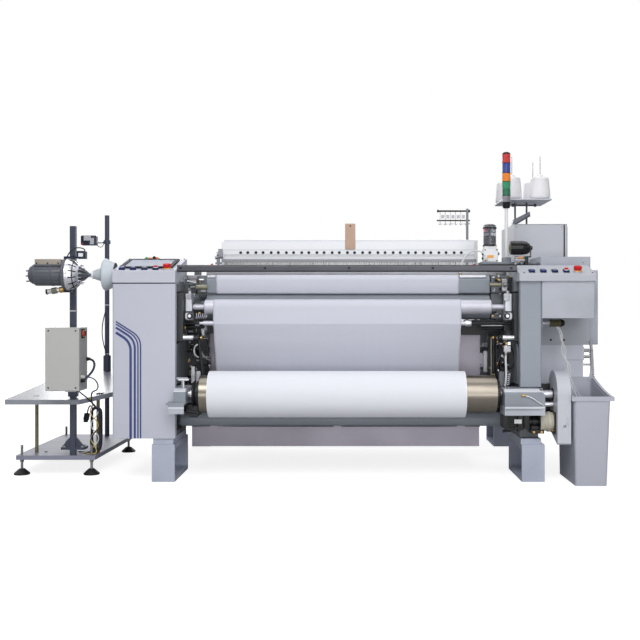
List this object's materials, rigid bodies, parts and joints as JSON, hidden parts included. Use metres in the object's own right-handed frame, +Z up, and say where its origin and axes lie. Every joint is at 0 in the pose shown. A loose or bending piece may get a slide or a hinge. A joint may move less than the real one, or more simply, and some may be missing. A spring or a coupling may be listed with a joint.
{
  "type": "power loom",
  "caption": "Air-jet weaving machine with cloth roll, harness, warp beam, operator consoles and a weft feeder on its own stand.",
  "frame": {"origin": "on the floor under the middle of the whole machine's box", "axes": "+X along the weft from the feeder to the waste bin, +Y from the weaver to the warp beam, +Z up"},
  "size_m": [3.084, 1.9049, 1.715],
  "materials": {
    "cover_paint": "smooth light grey enamel",
    "frame_paint": "grey paint on castings",
    "beam_paint": "grey-green paint",
    "bright_steel": "ground steel",
    "rail_steel": "dark gloss",
    "cabinet_paint": "grey enamel",
    "cloth": "plain weave, white",
    "core_metal": "bronze anodised",
    "pan_steel": "brushed",
    "motor_black": "satin black",
    "gear_steel": "machined",
    "beam_metal": "cast and machined",
    "heald_white": "white anodised",
    "pump_plastic": "smoked plastic",
    "lamp_plastic": "coloured lenses",
    "rack_steel": "dark paint",
    "thread": "wound white yarn",
    "stand_paint": "grey paint",
    "post_steel": "blue-black paint",
    "box_paint": "warm grey enamel",
    "feeder_casting": "slate paint",
    "cone_plastic": "pale plastic",
    "cable_rubber": "black jacket",
    "button_blue": "gloss",
    "button_red": "gloss"
  },
  "bodies": {
    "frame": {"left_cover": "cover_paint", "left_console": "cover_paint", "right_column_cover": "cover_paint", "right_console": "cover_paint", "right_side_cover": "cover_paint", "roll_brackets": "cover_paint", "gear_guard": "cover_paint", "waste_bin": "cover_paint", "side_frame_left": "frame_paint", "side_frame_right": "frame_paint", "cross_beams": "frame_paint", "stop_motion": "frame_paint", "breast_beam": "beam_paint", "guide_bars": "bright_steel", "roller_brackets": "bright_steel", "hand_rail": "rail_steel", "control_cabinet": "cabinet_paint", "cloth_web": "cloth", "warp_sheet": "cloth", "drip_pan": "pan_steel", "take_up_motor": "motor_black", "grease_pump": "pump_plastic", "signal_lamp": "lamp_plastic", "bobbin_rack": "rack_steel", "selvage_guide": "rack_steel", "work_lamp": "rack_steel", "thread_bobbins": "thread", "stand_base": "stand_paint", "stand_tray": "stand_paint", "feeder_posts": "post_steel", "feeder_control_box": "box_paint", "feeder_body": "feeder_casting", "balloon_cone": "cone_plastic", "cable_hank": "cable_rubber", "cable_connector": "cable_rubber"},
    "sley": {"sley_beam": "beam_metal", "reed": "bright_steel"},
    "front_heald": {"harness_front": "heald_white"},
    "rear_heald": {"harness_rear": "heald_white"},
    "beam_of_warp": {"warp_beam": "beam_metal", "warp_winding": "cloth"},
    "back_roll": {"back_roller": "beam_paint"},
    "take_up": {"take_up_roller": "beam_paint"},
    "press_roll": {"press_roller": "bright_steel"},
    "cloth_roll": {"roll_core": "core_metal", "cloth_winding": "cloth"},
    "pinion": {"drive_pinion": "gear_steel"},
    "winder": {"feeder_winder": "feeder_casting"},
    "door": {"cabinet_door": "cabinet_paint"},
    "switch_knob": {"isolator_knob": "button_red"},
    "left_key_1": {"left_button_1": "button_blue"},
    "left_key_2": {"left_button_2": "button_blue"},
    "left_key_3": {"left_button_3": "button_blue"},
    "left_key_4": {"left_button_4": "button_red"},
    "left_stop": {"left_stop_button": "button_red"},
    "right_key_1": {"right_button_1": "button_blue"},
    "right_key_2": {"right_button_2": "button_blue"},
    "right_key_3": {"right_button_3": "button_blue"},
    "right_key_4": {"right_button_4": "button_red"},
    "right_stop": {"right_stop_button": "button_red"}
  },
  "joints": [
    {"name": "sley_swing", "type": "hinge", "parent": "frame", "child": "sley", "pos_m": [0.224, -0.3075, 0.52], "axis": [1, 0, 0], "range_deg": [0, 10]},
    {"name": "front_heald_lift", "type": "slide", "parent": "frame", "child": "front_heald", "axis": [0, 0, 1], "range_m": [-0.035, 0.035]},
    {"name": "rear_heald_lift", "type": "slide", "parent": "frame", "child": "rear_heald", "axis": [0, 0, 1], "range_m": [-0.035, 0.035]},
    {"name": "warp_beam_spin", "type": "hinge", "parent": "frame", "child": "beam_of_warp", "pos_m": [0.224, 0.5725, 0.56], "axis": [1, 0, 0], "continuous": true},
    {"name": "back_roller_spin", "type": "hinge", "parent": "frame", "child": "back_roll", "pos_m": [0.224, 0.7325, 1], "axis": [1, 0, 0], "continuous": true},
    {"name": "take_up_spin", "type": "hinge", "parent": "frame", "child": "take_up", "pos_m": [0.224, -0.5325, 0.867], "axis": [1, 0, 0], "continuous": true},
    {"name": "press_roller_spin", "type": "hinge", "parent": "frame", "child": "press_roll", "pos_m": [0.224, -0.6382, 0.867], "axis": [1, 0, 0], "continuous": true},
    {"name": "cloth_roll_spin", "type": "hinge", "parent": "frame", "child": "cloth_roll", "pos_m": [0.224, -0.7975, 0.433], "axis": [1, 0, 0], "continuous": true},
    {"name": "pinion_spin", "type": "hinge", "parent": "frame", "child": "pinion", "pos_m": [1.264, -0.82074, 0.299], "axis": [1, 0, 0], "continuous": true},
    {"name": "winder_spin", "type": "hinge", "parent": "frame", "child": "winder", "pos_m": [-1.188, -0.7225, 1.031], "axis": [1, 0, 0], "continuous": true},
    {"name": "cabinet_door_swing", "type": "hinge", "parent": "frame", "child": "door", "pos_m": [1.448, 0.2265, 1.135], "axis": [0, 0, 1], "range_deg": [0, 110]},
    {"name": "isolator_turn", "type": "hinge", "parent": "frame", "child": "switch_knob", "pos_m": [-1.122, -0.7175, 0.733], "axis": [1, 0, 0], "range_deg": [0, 90]},
    {"name": "left_key_1_press", "type": "slide", "parent": "frame", "child": "left_key_1", "axis": [0, 0.2163, -0.9763], "range_m": [0, 0.003], "stiffness_N_per_m": 500, "springref_m": -0.004},
    {"name": "right_key_1_press", "type": "slide", "parent": "frame", "child": "right_key_1", "axis": [0, 0.2822, -0.9594], "range_m": [0, 0.003], "stiffness_N_per_m": 500, "springref_m": -0.004},
    {"name": "left_key_2_press", "type": "slide", "parent": "frame", "child": "left_key_2", "axis": [0, 0.2163, -0.9763], "range_m": [0, 0.003], "stiffness_N_per_m": 500, "springref_m": -0.004},
    {"name": "right_key_2_press", "type": "slide", "parent": "frame", "child": "right_key_2", "axis": [0, 0.2822, -0.9594], "range_m": [0, 0.003], "stiffness_N_per_m": 500, "springref_m": -0.004},
    {"name": "left_key_3_press", "type": "slide", "parent": "frame", "child": "left_key_3", "axis": [0, 0.2163, -0.9763], "range_m": [0, 0.003], "stiffness_N_per_m": 500, "springref_m": -0.004},
    {"name": "right_key_3_press", "type": "slide", "parent": "frame", "child": "right_key_3", "axis": [0, 0.2822, -0.9594], "range_m": [0, 0.003], "stiffness_N_per_m": 500, "springref_m": -0.004},
    {"name": "left_key_4_press", "type": "slide", "parent": "frame", "child": "left_key_4", "axis": [0, 0.2163, -0.9763], "range_m": [0, 0.003], "stiffness_N_per_m": 500, "springref_m": -0.004},
    {"name": "right_key_4_press", "type": "slide", "parent": "frame", "child": "right_key_4", "axis": [0, 0.2822, -0.9594], "range_m": [0, 0.003], "stiffness_N_per_m": 500, "springref_m": -0.004},
    {"name": "left_stop_press", "type": "slide", "parent": "frame", "child": "left_stop", "axis": [0, 0.2163, -0.9763], "range_m": [0, 0.005]},
    {"name": "right_stop_press", "type": "slide", "parent": "frame", "child": "right_stop", "axis": [0, 0.2822, -0.9594], "range_m": [0, 0.005]}
  ],
  "couplings": [
    {"joint": "rear_heald_lift", "follows": "front_heald_lift", "ratio": -1},
    {"joint": "back_roller_spin", "follows": "warp_beam_spin", "ratio": 4.1429},
    {"joint": "press_roller_spin", "follows": "take_up_spin", "ratio": -1.7105},
    {"joint": "pinion_spin", "follows": "cloth_roll_spin", "ratio": -1.6154}
  ]
}
